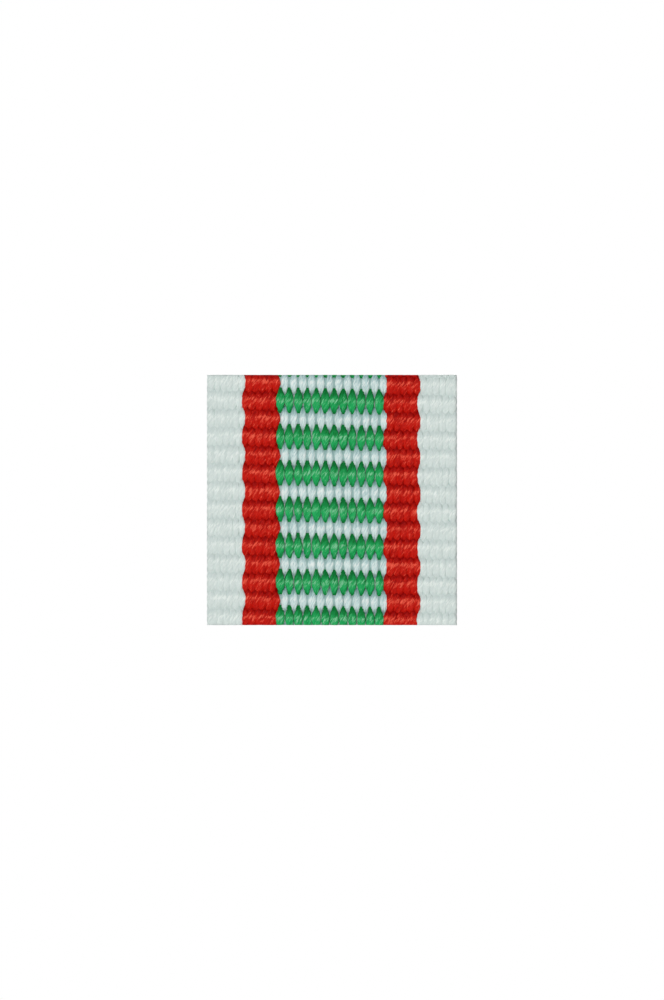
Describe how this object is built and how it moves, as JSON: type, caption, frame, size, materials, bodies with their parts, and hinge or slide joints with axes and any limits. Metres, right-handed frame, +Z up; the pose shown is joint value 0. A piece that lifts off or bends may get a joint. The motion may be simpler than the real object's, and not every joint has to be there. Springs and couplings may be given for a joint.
{
  "type": "medal ribbon brooch",
  "caption": "Square of ribbed striped medal ribbon on a stiffened metal plate, worn by a hinged pin with a locking roller catch.",
  "frame": {"origin": "on the pin's axis, half way along the brooch bar, behind the ribbon", "axes": "+X to the right seen from the front, along the closed pin towards its point; +Z up as worn; the ribbon faces -Y"},
  "size_m": [0.016, 0.0048, 0.016],
  "materials": {
    "weft_yarn": "white spun weft thread",
    "white_yarn": "cool white twisted silk-like warp",
    "red_yarn": "scarlet twisted silk-like warp",
    "green_yarn": "emerald twisted silk-like warp",
    "film": "clear adhesive film",
    "board": "dense dark pressed board",
    "plate_brass": "pressed and lacquered brass",
    "brooch_brass": "polished brass",
    "steel": "drawn steel wire",
    "nickel": "nickel plated"
  },
  "bodies": {
    "badge": {"ribbon_weft": "weft_yarn", "ribbon_white_left": "white_yarn", "ribbon_red_left": "red_yarn", "ribbon_green_bars": "green_yarn", "ribbon_white_bars": "white_yarn", "ribbon_red_right": "red_yarn", "ribbon_white_right": "white_yarn", "bonding_film": "film", "stiffener_board": "board", "backing_plate": "plate_brass", "brooch_bar": "brooch_brass", "bar_rivets": "brooch_brass", "hinge_bracket": "brooch_brass", "hinge_rivet": "steel", "catch_housing": "brooch_brass"},
    "pin_arm": {"pin_stem": "steel"},
    "roller": {"locking_roller": "nickel"}
  },
  "joints": [
    {"name": "pin_hinge", "type": "hinge", "parent": "badge", "child": "pin_arm", "pos_m": [-0.0052, 0, 0], "axis": [0, 0, 1], "range_deg": [0, 80]},
    {"name": "roller_turn", "type": "hinge", "parent": "badge", "child": "roller", "pos_m": [0.005, 0, 0], "axis": [-1, 0, 0], "range_deg": [0, 110]}
  ]
}
